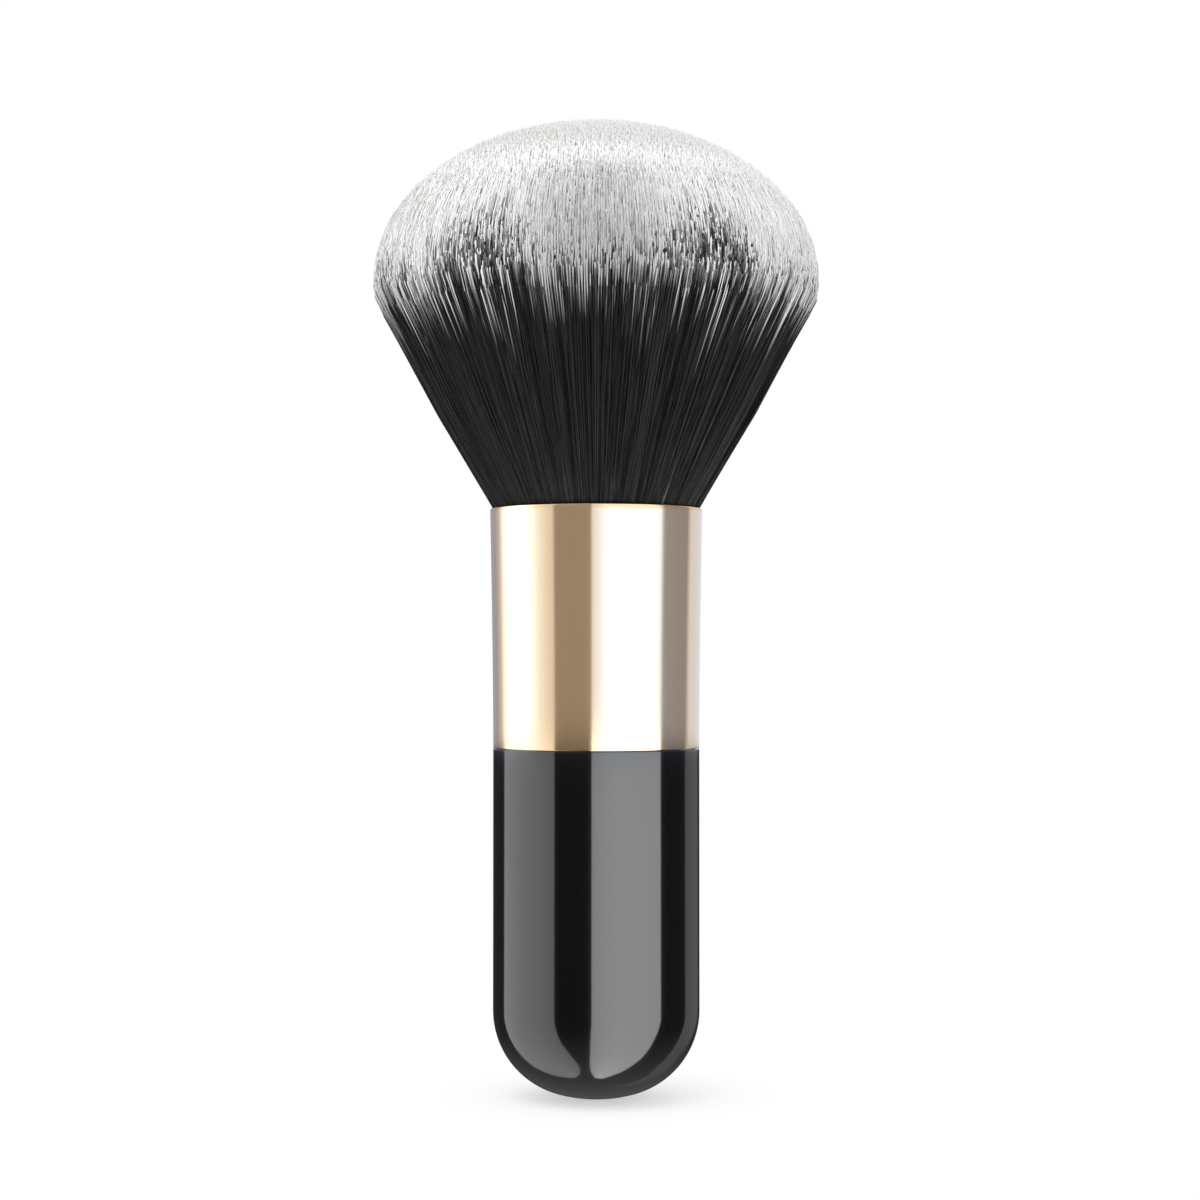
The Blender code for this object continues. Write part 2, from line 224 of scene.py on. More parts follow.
# The higher these powers, the fewer filaments pale early or late.
EARLY_POWER = 4.0
LATE_POWER = 3.0
# Neighbours pale at much the same height, in drifts about this wide.
DRIFT_SIZE = 2.2 * MM
# Filaments differ less inside the head than at its rim.
LEAST_SCATTER = 0.2
SCATTER_RANGE = (0.75, 0.98)
# A few filaments stay black a little longer than the rest.
FEW_POWER = 4.0
FEW_REACH = 2.5 * MM
FEW_RANGE = (0.50, 0.75)
# The shares of the root's radius over which the tips' white length changes from the top's to the rim's.
WHITE_TIP_RANGE = (0.50, 0.80)
# The palest that a filament gets, as a distance beyond its black end: all over the top in metres, and towards
# the rim in millimetres from front to side. Lower down, and most at front and back, this keeps the ends
# greyer: partly painted shade, partly the black that shows between the filaments.
PALEST_AT_TOP = 8.0 * MM
PALEST_AT_RIM = ((0.0, 1.2), (0.13, 1.3), (0.24, 1.9), (0.35, 3.2), (0.50, 4.2), (1.0, 5.0))
PALEST_RANGE = (0.56, 0.90)
# How a filament pales over a distance about its black end: shares of it, and how white it is there.
BLEACH_START = -3.0 * MM
BLEACH_END = 12.0 * MM
BLEACH_STEPS = ((0.0, 0.0), (0.20, 0.26), (0.33, 0.58), (0.47, 0.77), (0.67, 0.91), (1.0, 1.0))

# The painted sheen's streaks on the black: how far apart two filaments' patterns lie, and how long a streak
# is.
SHEEN_STREAK_VARIETY = 300.0
SHEEN_STREAK_LENGTH = 2.5 * MM
# The bake map holds fades between these two, over its whole height.
BAKED_FADES = (-50.0 * MM, 35.0 * MM)

# The kinds of node that the trees use most. A range node takes a value, the range that the value comes
# from and the one that it goes to, in that order.
MATH = "ShaderNodeMath"
WHOLE_MATH = "FunctionNodeIntegerMath"
VECTOR_MATH = "ShaderNodeVectorMath"
MAP_RANGE = "ShaderNodeMapRange"
MIX = "ShaderNodeMix"
RAMP = "ShaderNodeValToRGB"
CURVE = "ShaderNodeFloatCurve"
NOISE = "ShaderNodeTexNoise"
STORE = "GeometryNodeStoreNamedAttribute"
STORED = "GeometryNodeInputNamedAttribute"


def linear(hex_colour):
    """An sRGB hex value such as #e8cda5 as linear red, green, blue and full alpha."""
    shades = [int(hex_colour[i : i + 2], 16) / 255.0 for i in (1, 3, 5)]
    return [s / 12.92 if s <= 0.04045 else ((s + 0.055) / 1.055) ** 2.4 for s in shades] + [1.0]


def scaled(colour, factor):
    """A colour made darker or lighter, with full alpha."""
    return [factor * part for part in colour[:3]] + [1.0]


def feed(tree, node, feeds):
    """Feeds a node's inputs, in their order or by name or number, from values or other nodes' outputs."""
    for key, value in feeds.items() if isinstance(feeds, dict) else enumerate(feeds):
        if isinstance(value, bpy.types.NodeSocket):
            tree.links.new(value, node.inputs[key])
        else:
            node.inputs[key].default_value = value


def add_node(tree, kind, feeds=(), operation=None, **settings):
    """Adds a node with its operation, settings and feeds, and returns its outputs."""
    node = tree.nodes.new(kind)
    if operation:
        node.operation = operation
    for name, value in settings.items():
        setattr(node, name, value)
    feed(tree, node, feeds)
    return node.outputs


def stopped(outputs, stops):
    """The colour output of a ramp that gets its stops, each a place and a colour."""
    elements = outputs["Color"].node.color_ramp.elements
    elements.remove(elements[1])
    elements[0].position, elements[0].color = stops[0]
    for place, colour in stops[1:]:
        elements.new(place).color = colour
    return outputs["Color"]


def shaped(outputs, table):
    """The output of a float curve that gets its points from a table."""
    mapping = outputs[0].node.mapping
    mapping.use_clip = False
    points = mapping.curves[0].points
    points[0].location, points[1].location = table[0], table[-1]
    for point in table[1:-1]:
        points.new(*point)
    mapping.update()
    return outputs[0]


def colour_property(name, description, hex_colour):
    return bpy.props.FloatVectorProperty(
        name=name, description=description, default=linear(hex_colour),
        subtype="COLOR", size=4, min=0.0, max=1.0,
    )


def length_property(name, description, default):
    return bpy.props.FloatProperty(
        name=name, description=description, unit="LENGTH", precision=5, default=default
    )


class BRUSH_PG_handle(bpy.types.PropertyGroup):
    """Sizes and finish of the turned handle."""

    radius: length_property("Radius", "Radius of the straight barrel", HANDLE_HIGH.x)
    crown_radius: length_property("Crown radius", "Radius of the domed end's flatter middle", 20.0 * MM)
    knuckle_radius: length_property("Knuckle radius", "Radius that joins the crown to the barrel", 11.4 * MM)
    shoulder_round: length_property("Shoulder round", "Rounding under the ferrule", 0.05 * MM)
    lacquer: colour_property("Lacquer", "Colour of the gloss lacquer", "#08080a")
    gloss: bpy.props.FloatProperty(
        name="Gloss roughness", description="Roughness of the clear coat", default=0.015, min=0.0, max=1.0
    )
    peel_size: length_property("Orange peel", "Width of the lacquer's faint waves", 2.5 * MM)


class BRUSH_PG_ferrule(bpy.types.PropertyGroup):
    """Sizes and finish of the drawn ferrule."""

    wall: length_property("Wall", "Thickness of the drawn tube", 0.5 * MM)
    foot_round: length_property("Foot round", "Rounding of the cut foot", 0.06 * MM)
    gold: colour_property("Gold", "Colour of the dyed oxide layer", "#f7d6ad")
    roughness: bpy.props.FloatProperty(
        name="Roughness", description="Roughness of the polished metal", default=0.11, min=0.0, max=1.0
    )


class BRUSH_PG_bristles(bpy.types.PropertyGroup):
    """Sizes, spread and colours of the filaments."""

    count: bpy.props.IntProperty(
        name="Filaments", description="Filaments in the whole head", default=FILAMENTS_IN_ALL, min=1000
    )
    thickness: length_property("Thickness", "Thickness of one filament", 0.16 * MM)
    head_radius: length_property("Head radius", "Radius of the head where it is widest", 29.75 * MM)
    widest_height: length_property("Widest height", "Height of the widest place above the mouth", 30.5 * MM)
    dome_height: length_property("Dome height", "Height of the dome above the widest place", 21.3 * MM)
    last_tip_angle: bpy.props.FloatProperty(
        name="Last tip", description="How far round the dome the outermost tips lie",
        subtype="ANGLE", default=math.radians(98.0),
    )
    lock_size: length_property("Lock size", "Width of the locks that filaments gather in", 0.6 * MM)
    lock_pull: bpy.props.FloatProperty(
        name="Lock pull", description="How far tips are drawn to their lock's middle",
        default=0.15, min=0.0, max=1.0,
    )
    stray: length_property("Stray", "How far a tip strays from its path", 0.3 * MM)
    length_scatter: length_property("Length scatter", "How much shorter the shortest filaments are", 0.6 * MM)
    wander: length_property("Wander", "How far a filament's middle wanders off its path", 0.35 * MM)
    tip_fineness: bpy.props.FloatProperty(
        name="Tip fineness", description="Thickness of a tip as a share of the filament's",
        default=1.2, max=1.5,
    )
    lying_from: bpy.props.FloatProperty(
        name="Lying from", description="Share of the root's radius beyond which ends lie along the dome",
        default=0.35,
    )
    lying_length: length_property("Lying length", "Longest end that lies along the dome", 12.0 * MM)
    least_lying_length: length_property(
        "Least lying length", "Shortest end that lies along the dome", 0.8 * MM
    )
    fade_distance: length_property(
        "Fade distance", "Usual black length beyond the ferrule's mouth", 35.0 * MM
    )
    fade_scatter: length_property(
        "Fade scatter", "How much the black length differs between filaments", 4.2 * MM
    )
    least_white: length_property("Least white", "White length that every tip has", -1.0 * MM)
    white_at_top: length_property("White at top", "White length that every tip has at the top", 8.0 * MM)
    black: colour_property("Black", "Colour of the filaments at the root", "#151514")
    white: colour_property("White", "Colour of the filaments at the tip", "#fdfdfc")
    seed: bpy.props.IntProperty(name="Seed", description="Seed of all scatter", default=7)


class BRUSH_PG_studio(bpy.types.PropertyGroup):
    """Light and background."""

    ambient: bpy.props.FloatProperty(
        name="Ambient", description="Strength of the light from all round", default=0.95, min=0.0
    )
    key_power: bpy.props.FloatProperty(
        name="Key", description="Power of the upper softbox", unit="POWER", default=3.0
    )
    fill_power: bpy.props.FloatProperty(
        name="Fill", description="Power of the front softbox", unit="POWER", default=0.9
    )
    floor: colour_property("Floor", "Colour of the floor", "#f7f7f7")


def arc(centre, radius, start, end, steps):
    """Points (r, z) on an arc about centre, from one angle to another in radians, ends included."""
    points = []
    for step in range(steps + 1):
        angle = start + (end - start) * step / steps
        points.append((centre[0] + radius * math.cos(angle), centre[1] + radius * math.sin(angle)))
    return points


def run(start, end, steps):
    """Points between two ends of a straight stretch, with both ends left out."""
    points = []
    for step in range(1, steps):
        share = step / steps
        points.append((start[0] + (end[0] - start[0]) * share, start[1] + (end[1] - start[1]) * share))
    return points


def plain_mesh_of(obj):
    """Turns the object's evaluated shape into its own plain mesh and takes its modifiers off."""
    graph = bpy.context.evaluated_depsgraph_get()
    evaluated = obj.evaluated_get(graph)
    mesh = bpy.data.meshes.new_from_object(evaluated, preserve_all_data_layers=True, depsgraph=graph)
    old = obj.data
    obj.modifiers.clear()
    obj.data = mesh
    mesh.name = obj.name
    bpy.data.meshes.remove(old)
    return obj


def turned(name, profile, closed, material):
    """A solid of revolution about Z from (r, z) points that run down the outer side, top to bottom."""
    mesh = bpy.data.meshes.new(name + "_profile")
    bm = bmesh.new()
    corners = [bm.verts.new((r, 0.0, z)) for r, z in profile]
    for first, second in zip(corners, corners[1:]):
        bm.edges.new((first, second))
    if closed:
        bm.edges.new((corners[-1], corners[0]))
    bm.to_mesh(mesh)
    bm.free()
    obj = bpy.data.objects.new(name, mesh)
    bpy.context.scene.collection.objects.link(obj)
    screw = obj.modifiers.new("turn", "SCREW")
    screw.axis = "Z"
    screw.angle = math.tau
    screw.steps = TURNING_SEGMENTS
    screw.render_steps = TURNING_SEGMENTS
    screw.use_merge_vertices = True
    screw.merge_threshold = MERGE_DISTANCE
    plain_mesh_of(obj)
    obj.data.shade_smooth()
    obj.data.set_sharp_from_angle(angle=SHARP_ANGLE)
    obj.data.materials.append(material)
    return obj


def new_material(name):
    """An empty node material, with its Principled shader linked to its output."""
    material = bpy.data.materials.new(name)
    material.use_nodes = True
    return material, material.node_tree, material.node_tree.nodes["Principled BSDF"]


def lacquer_material(settings):
    """Piano-black polyurethane lacquer: a deep black under a clear coat that mirrors the softboxes."""
    material, tree, shader = new_material("gloss_black_lacquer")
    add = partial(add_node, tree)
    place = add("ShaderNodeTexCoord")["Object"]
    depth = add(NOISE, {"Vector": place, "Scale": 0.4 / settings.peel_size, "Detail": 2.0})["Fac"]
    stops = (0.0, scaled(settings.lacquer, 0.8)), (1.0, scaled(settings.lacquer, 1.2))
    shades = stopped(add(RAMP, {"Fac": depth}), stops)
    peel = add(NOISE, {"Vector": place, "Scale": 1.0 / settings.peel_size, "Detail": 1.0})["Fac"]
    waves = add("ShaderNodeBump", {"Height": peel, "Strength": 0.02, "Distance": 0.1 * MM})["Normal"]
    feed(tree, shader, {"Base Color": shades, "Roughness": 0.12})
    feed(tree, shader, {"Coat Weight": 1.0, "Coat Roughness": settings.gloss, "Coat Normal": waves})
    return material


def gold_material(settings):
    """Polished aluminium, anodised and dyed champagne gold: a soft-edged warm mirror."""
    material, tree, shader = new_material("anodised_champagne_gold")
    add = partial(add_node, tree)
    place = add("ShaderNodeTexCoord")["Object"]
    # Drawing leaves faint lines along the tube, so the pattern is fine round it and long down it.
    stretched = add("ShaderNodeMapping", {"Vector": place, "Scale": (1.0, 1.0, 0.05)})["Vector"]
    lines = add(NOISE, {"Vector": stretched, "Scale": 1.0 / (0.8 * MM), "Detail": 3.0})["Fac"]
    shine = add(MAP_RANGE, [lines, 0.3, 0.7, settings.roughness * 0.9, settings.roughness * 1.1])[0]
    dye = add(NOISE, {"Vector": place, "Scale": 1.0 / (9.0 * MM), "Detail": 2.0})["Fac"]
    tint = stopped(add(RAMP, {"Fac": dye}), ((0.0, scaled(settings.gold, 0.97)), (1.0, settings.gold)))
    feed(tree, shader, {"Base Color": tint, "Metallic": 1.0, "Roughness": shine})
    return material


def resin_material(name, dark, light, grain, roughness):
    """Cast epoxy: faintly cloudy, with the tone of its filler drifting over a few millimetres."""
    material, tree, shader = new_material(name)
    add = partial(add_node, tree)
    place = add("ShaderNodeTexCoord")["Object"]
    cloud = add(NOISE, {"Vector": place, "Scale": 1.0 / grain, "Detail": 4.0})["Fac"]
    tint = stopped(add(RAMP, {"Fac": cloud}), ((0.35, linear(dark)), (0.65, linear(light))))
    bumps = add("ShaderNodeBump", {"Height": cloud, "Strength": 0.3, "Distance": 0.05 * MM})["Normal"]
    feed(tree, shader, {"Base Color": tint, "Normal": bumps, "Roughness": roughness})
    return material


def filament_material(settings):
    """Dyed nylon filament: black with a faint gloss, its end bleached white.

    Every filament carries its own tone, and how far each place lies beyond the end of the black.
    """
    material, tree, shader = new_material("two_tone_nylon_filament")
    add = partial(add_node, tree)
    fade = add("ShaderNodeAttribute", attribute_name="fade")["Fac"]
    tone = add("ShaderNodeAttribute", attribute_name="tone")["Fac"]
    # The bleach sets in quickly, and the last step to white takes the longest.
    bleached = add(MAP_RANGE, [fade, BLEACH_START, BLEACH_END])[0]
    steps = [(place, (level, level, level, 1.0)) for place, level in BLEACH_STEPS]
    whiteness = stopped(add(RAMP, {"Fac": bleached}), steps)
    # Most filaments are black and a few are greyer, and along each the black carries painted sheen in
    # lengthways streaks.
    black, white = settings.black, settings.white
    stops = (0.0, scaled(black, 0.6)), (0.90, scaled(black, 1.6)), (1.0, linear("#3f3f41"))
    blacks = stopped(add(RAMP, {"Fac": tone}), stops)
    # Painted sheen: a noise that runs along each filament and differs between filaments makes its black
    # lighter and darker by turns.
    own_tone = add(MATH, [tone, SHEEN_STREAK_VARIETY], "MULTIPLY")[0]
    own_place = add(MATH, [fade, SHEEN_STREAK_LENGTH], "DIVIDE")[0]
    spot = add("ShaderNodeCombineXYZ", {"X": own_tone, "Y": own_place})[0]
    sheen_streak = add(NOISE, {"Vector": spot, "Scale": 1.0, "Detail": 1.0})["Fac"]
    # Towards the ferrule the black is lighter, as in the photo.
    level = add(MAP_RANGE, [sheen_streak, 0.3, 0.7, 0.5, 1.5])[0]
    rise = add(MAP_RANGE, [fade, -36.0 * MM, -10.0 * MM, 1.5, 0.85])[0]
    level = add(MATH, [level, rise], "MULTIPLY")[0]
    sheened_black = add(VECTOR_MATH, {"Vector": blacks, "Scale": level}, "SCALE")[0]
    whites = stopped(add(RAMP, {"Fac": tone}), ((0.0, scaled(white, 0.94)), (1.0, white)))
    colour = add(MIX, {"Factor": whiteness, "A": sheened_black, "B": whites}, data_type="RGBA")["Result"]
    feed(tree, shader, {"Base Color": colour, "Roughness": 0.55, "Specular IOR Level": 0.2})
    return material


# Inputs of the tree that grows filaments: those that one piece sets, those that the bristles' settings
# hold under the same names, and those that come from the frame.
PIECE_INPUTS = ("Sector Start", "Sector Width", "Inner Share", "Outer Share", "Points Each", "Line Steps")
SETTINGS_INPUTS = (
    "Head Radius", "Dome Height", "Last Tip Angle", "Thickness", "Tip Fineness", "Lying From", "Lying Length",
    "Least Lying Length", "Lock Size", "Lock Pull", "Stray", "Wander", "Length Scatter", "Fade Distance",
    "Fade Scatter", "Least White", "White At Top", "Seed",
)
FRAME_INPUTS = ("Root Radius", "Root Height", "Mouth Radius", "Mouth Height", "Head Centre Height")
WHOLE_NUMBERS = ("Filament Count", "Points Each", "Seed")


def filament_tree():
    """The tree that grows one share of the filaments, each from the resin root to the dome."""
    tree = bpy.data.node_groups.new("grow_filaments", "GeometryNodeTree")
    for name in ("Filament Count", *PIECE_INPUTS, *SETTINGS_INPUTS, *FRAME_INPUTS):
        kind = "NodeSocketInt" if name in WHOLE_NUMBERS else "NodeSocketFloat"
        tree.interface.new_socket(name, in_out="INPUT", socket_type=kind)
    tree.interface.new_socket("Material", in_out="INPUT", socket_type="NodeSocketMaterial")
    tree.interface.new_socket("Filaments", in_out="OUTPUT", socket_type="NodeSocketGeometry")
    add = partial(add_node, tree)
    given = add("NodeGroupInput")

    # A row of points for each filament, numbered before any are left out.
    index = add("GeometryNodeInputIndex")[0]
    total = add(WHOLE_MATH, [given["Filament Count"], given["Points Each"]], "MULTIPLY")[0]
    geometry = add("GeometryNodePoints", {"Count": total})[0]
    number = add(WHOLE_MATH, [index, given["Points Each"]], "DIVIDE_FLOOR")[0]
    place_in_row = add(WHOLE_MATH, [index, given["Points Each"]], "MODULO")[0]
    for name, value in (("filament", number), ("step", place_in_row)):
        geometry = add(STORE, {"Geometry": geometry, "Name": name, "Value": value}, data_type="INT")[0]
    filament = add(STORED, {"Name": "filament"}, data_type="INT")[0]
    step = add(STORED, {"Name": "step"}, data_type="INT")[0]

    # Three draws of three numbers for each filament.
    draws = []
    for extra in range(3):
        seed = add(WHOLE_MATH, [given["Seed"], extra], "ADD")[0]
        draw = add("FunctionNodeRandomValue", {"ID": filament, "Seed": seed}, data_type="FLOAT_VECTOR")[0]
        draws.append(draw)
    place_draw = add("ShaderNodeSeparateXYZ", [draws[0]])
    tone_draw = add("ShaderNodeSeparateXYZ", [draws[1]])

    # Even spacing over the round root by the golden turn, shaken so that no spiral shows.
    shaken = add(MATH, [filament, place_draw["X"]], "ADD")[0]
    part = add(MATH, [shaken, given["Filament Count"]], "DIVIDE")[0]
    share = add(MATH, [part], "SQRT")[0]
    turns = add(MATH, [filament, GOLDEN_TURN], "MULTIPLY")[0]
    shaken_turns = add(MATH, [place_draw["Y"], SPIRAL_SHAKE, turns], "MULTIPLY_ADD")[0]
    turn = add(MATH, [shaken_turns], "FRACT")[0]

    # Only the filaments of this share of the root are kept.
    from_start = add(MATH, [turn, given["Sector Start"]], "SUBTRACT")[0]
    round_from_start = add(MATH, [from_start], "FRACT")[0]
    tests = (
        (round_from_start, given["Sector Width"], "GREATER_EQUAL"),
        (share, given["Inner Share"], "LESS_THAN"),
        (share, given["Outer Share"], "GREATER_EQUAL"),
    )
    for value, limit, operation in tests:
        outside = add("FunctionNodeCompare", [value, limit], operation)[0]
        geometry = add("GeometryNodeDeleteGeometry", {"Geometry": geometry, "Selection": outside})[0]

    # It runs straight from the mouth to its place under the dome, then lies along the dome for a while.
    angle = add(MATH, [turn, math.tau], "MULTIPLY")[0]
    cosine = add(MATH, [angle], "COSINE")[0]
    sine = add(MATH, [angle], "SINE")[0]
    outwards = add("ShaderNodeCombineXYZ", {"X": cosine, "Y": sine})[0]
    edge_share = add(MAP_RANGE, [share, given["Lying From"]], interpolation_type="SMOOTHSTEP")[0]
    lying_draw = add(MATH, [tone_draw["X"], 2.0], "POWER")[0]
    lying = add(MAP_RANGE, [lying_draw, 0.0, 1.0, given["Least Lying Length"], given["Lying Length"]])[0]
    lying = add(MATH, [lying, edge_share], "MULTIPLY")[0]
    exit_angle = add(MATH, [share, given["Last Tip Angle"]], "MULTIPLY")[0]
    lying_angle = add(MATH, [lying, given["Dome Height"]], "DIVIDE")[0]

    free_step = add(MATH, [step, 1.0], "SUBTRACT")[0]
    last_step = add(MATH, [given["Points Each"], 2.0], "SUBTRACT")[0]
    beyond = add(MATH, [given["Line Steps"], 0.5], "ADD")[0]
    on_line = add(MATH, [free_step, beyond], "LESS_THAN")[0]
    line_steps = add(MATH, [given["Line Steps"], 1.0], "MAXIMUM")[0]
    line_part = add(MATH, [free_step, line_steps], "DIVIDE", use_clamp=True)[0]
    line_share = add(MATH, [line_part, STRAIGHT_SHARE], "MULTIPLY")[0]
    lying_step = add(MATH, [free_step, given["Line Steps"]], "SUBTRACT")[0]
    lying_steps = add(MATH, [last_step, given["Line Steps"]], "SUBTRACT")[0]
    lying_share = add(MATH, [lying_step, lying_steps], "DIVIDE")[0]
    back_angle = add(MATH, [lying_angle, lying_share], "MULTIPLY")[0]
    here_angle = add(MATH, [exit_angle, back_angle], "SUBTRACT")[0]
    tip_angle = add(MATH, [exit_angle, lying_angle], "SUBTRACT")[0]
    on_dome = []
    for dome_angle in (exit_angle, here_angle, tip_angle):
        angle_sine = add(MATH, [dome_angle], "SINE")[0]
        angle_cosine = add(MATH, [dome_angle], "COSINE")[0]
        heights = given["Dome Height"], given["Head Centre Height"]
        height = add(MATH, [angle_cosine, *heights], "MULTIPLY_ADD")[0]
        on_dome.append((angle_sine, given["Head Radius"], height))
    places = []
    for out_share, radius, height in [
        (share, given["Root Radius"], given["Root Height"]),
        (share, given["Mouth Radius"], given["Mouth Height"]),
        *on_dome,
    ]:
        reach = add(MATH, [out_share, radius], "MULTIPLY")[0]
        flat = add(VECTOR_MATH, {"Vector": outwards, "Scale": reach}, "SCALE")[0]
        raised = add("ShaderNodeCombineXYZ", {"Z": height})[0]
        places.append(add(VECTOR_MATH, [flat, raised], "ADD")[0])
    root, mouth, leaving, here, tip = places
    straight = add(VECTOR_MATH, [leaving, mouth], "SUBTRACT")[0]
    straight_length = add(VECTOR_MATH, [straight], "LENGTH")["Value"]
    direction = add(VECTOR_MATH, [straight], "NORMALIZE")[0]
    on_straight = add(MIX, {0: line_share, 4: mouth, 5: leaving}, data_type="VECTOR")[1]
    path = add(MIX, {0: on_line, 4: here, 5: on_straight}, data_type="VECTOR")[1]
    line_along = add(MATH, [line_share, straight_length], "MULTIPLY")[0]
    lying_along = add(MATH, [lying, lying_share, straight_length], "MULTIPLY_ADD")[0]
    along = add(MIX, {0: on_line, 2: lying_along, 3: line_along})[0]
    full_length = add(MATH, [straight_length, lying], "ADD")[0]

    # Locks: each tip is drawn sideways to the middle of the cell it lies in, strays and falls short.
    fineness = add(MATH, [1.0, given["Lock Size"]], "DIVIDE")[0]
    lock = add("ShaderNodeTexVoronoi", {"Vector": tip, "Scale": fineness})
    to_lock = add(VECTOR_MATH, [lock["Position"], tip], "SUBTRACT")[0]
    lengthways = add(VECTOR_MATH, [to_lock, straight], "PROJECT")[0]
    sideways = add(VECTOR_MATH, [to_lock, lengthways], "SUBTRACT")[0]
    straying = add(VECTOR_MATH, [draws[2], (0.5, 0.5, 0.5)], "SUBTRACT")[0]
    shortened = add(MATH, [place_draw["Z"], given["Length Scatter"]], "MULTIPLY")[0]
    backwards = add(MATH, [shortened, -1.0], "MULTIPLY")[0]
    lying_weight = add(MAP_RANGE, [lying_share, 0.0, 1.0, LYING_WEIGHT])[0]
    line_weight = add(MATH, [line_share, STRAIGHT_WEIGHT], "MULTIPLY")[0]
    weight = add(MIX, {0: on_line, 2: lying_weight, 3: line_weight})[0]
    pull = add(MATH, [given["Lock Pull"], share], "MULTIPLY")[0]
    for vector, size in ((sideways, pull), (straying, given["Stray"]), (direction, backwards)):
        here_size = add(MATH, [size, weight], "MULTIPLY")[0]
        shift = add(VECTOR_MATH, {"Vector": vector, "Scale": here_size}, "SCALE")[0]
        path = add(VECTOR_MATH, [path, shift], "ADD")[0]
    own_number = add(WHOLE_MATH, [filament, MOST_POINTS_EACH, step], "MULTIPLY_ADD")[0]
    # Its straight stretch wanders off the path in the middle, and its first point is in the resin.
    point_draw = add(
        "FunctionNodeRandomValue",
        {0: (-1.0, -1.0, -1.0), "ID": own_number, "Seed": given["Seed"]},
        data_type="FLOAT_VECTOR",
    )[0]
    on_middle = add(MATH, [line_part, 0.5, 0.1], "COMPARE")[0]
    wander = add(MATH, [on_middle, given["Wander"]], "MULTIPLY")[0]
    wandered = add(VECTOR_MATH, {"Vector": point_draw, "Scale": wander}, "SCALE")[0]
    path = add(VECTOR_MATH, [path, wandered], "ADD")[0]
    in_root = add(MATH, [step, 0.5], "LESS_THAN")[0]
    place = add(MIX, {0: in_root, 4: path, 5: root}, data_type="VECTOR")[1]
    geometry = add("GeometryNodeSetPosition", {"Geometry": geometry, "Position": place})[0]

    # Where the black ends: further up in a few broad lobes, then shifted by drifts, locks and chance.
    sideness = add(MATH, [cosine], "ABSOLUTE")[0]
    on_rim = add(MAP_RANGE, [share, *RIM_RANGE])[0]
    inner_end, rim_end, early_reach, palest_at_rim = (
        shaped(add(CURVE, {"Value": sideness}), table)
        for table in (BLACK_END_INSIDE, BLACK_END_AT_RIM, EARLY_WHITE, PALEST_AT_RIM)
    )
    shift = add(MIX, {0: on_rim, 2: inner_end, 3: rim_end})[0]
    end_of_black = add(MATH, [shift, MM, given["Fade Distance"]], "MULTIPLY_ADD")[0]
    upright = add(VECTOR_MATH, [tip, (1.0, 1.0, 0.3)], "MULTIPLY")[0]
    drift = add(NOISE, {"Vector": upright, "Scale": 1.0 / DRIFT_SIZE, "Detail": 2.0})["Fac"]
    lock_chance = add("ShaderNodeSeparateXYZ", [lock["Color"]])["X"]
    early = add(MATH, [tone_draw["Z"], EARLY_POWER], "POWER")[0]
    early = add(MATH, [early, early_reach], "MULTIPLY")[0]
    late = add(MATH, [1.0, tone_draw["Z"]], "SUBTRACT")[0]
    late = add(MATH, [late, LATE_POWER], "POWER")[0]
    scatter = add(MAP_RANGE, [share, *SCATTER_RANGE, LEAST_SCATTER])[0]
    scatter = add(MATH, [scatter, given["Fade Scatter"]], "MULTIPLY")[0]
    for value, middle, weight in (
        (drift, 0.5, 2.0),
        (lock_chance, 0.5, 0.5),
        (tone_draw["X"], 0.5, 0.6),
        (early, 0.0, -1.0),
        (late, 0.25, 0.9),
    ):
        off = add(MATH, [value, middle], "SUBTRACT")[0]
        sized = add(MATH, [off, scatter], "MULTIPLY")[0]
        end_of_black = add(MATH, [sized, weight, end_of_black], "MULTIPLY_ADD")[0]
    # Each tip is white for a little way at least, but for the few that stay black the longest.
    white_lengths = given["White At Top"], given["Least White"]
    white_end = add(MAP_RANGE, [share, *WHITE_TIP_RANGE, *white_lengths], interpolation_type="SMOOTHSTEP")[0]
    latest = add(MATH, [full_length, white_end], "SUBTRACT")[0]
    end_of_black = add(MATH, [end_of_black, latest], "MINIMUM")[0]
    few = add(MATH, [late, FEW_POWER], "POWER")[0]
    few_reach = add(MAP_RANGE, [share, *FEW_RANGE, 0.0, FEW_REACH])[0]
    few_shift = add(MATH, [few, few_reach], "MULTIPLY")[0]
    end_of_black = add(MATH, [end_of_black, few_shift], "ADD")[0]
    fade = add(MATH, [along, end_of_black], "SUBTRACT")[0]
    # Lower down the dome, and most at front and back, the ends stop short of full white: partly painted
    # shade, partly the black that shows between the filaments.
    palest = add(MATH, [palest_at_rim, MM], "MULTIPLY")[0]
    reaches = PALEST_AT_TOP, palest
    palest = add(MAP_RANGE, [share, *PALEST_RANGE, *reaches], interpolation_type="SMOOTHSTEP")[0]
    fade = add(MATH, [fade, palest], "MINIMUM")[0]
    for name, value in (("fade", fade), ("tone", tone_draw["Y"])):
        geometry = add(STORE, {"Geometry": geometry, "Name": name, "Value": value})[0]

    # Each row of points becomes a three-sided filament.
    curves = add(
        "GeometryNodePointsToCurves", {"Points": geometry, "Curve Group ID": filament, "Weight": step}
    )[0]
    tone = add(STORED, {"Name": "tone"})[0]
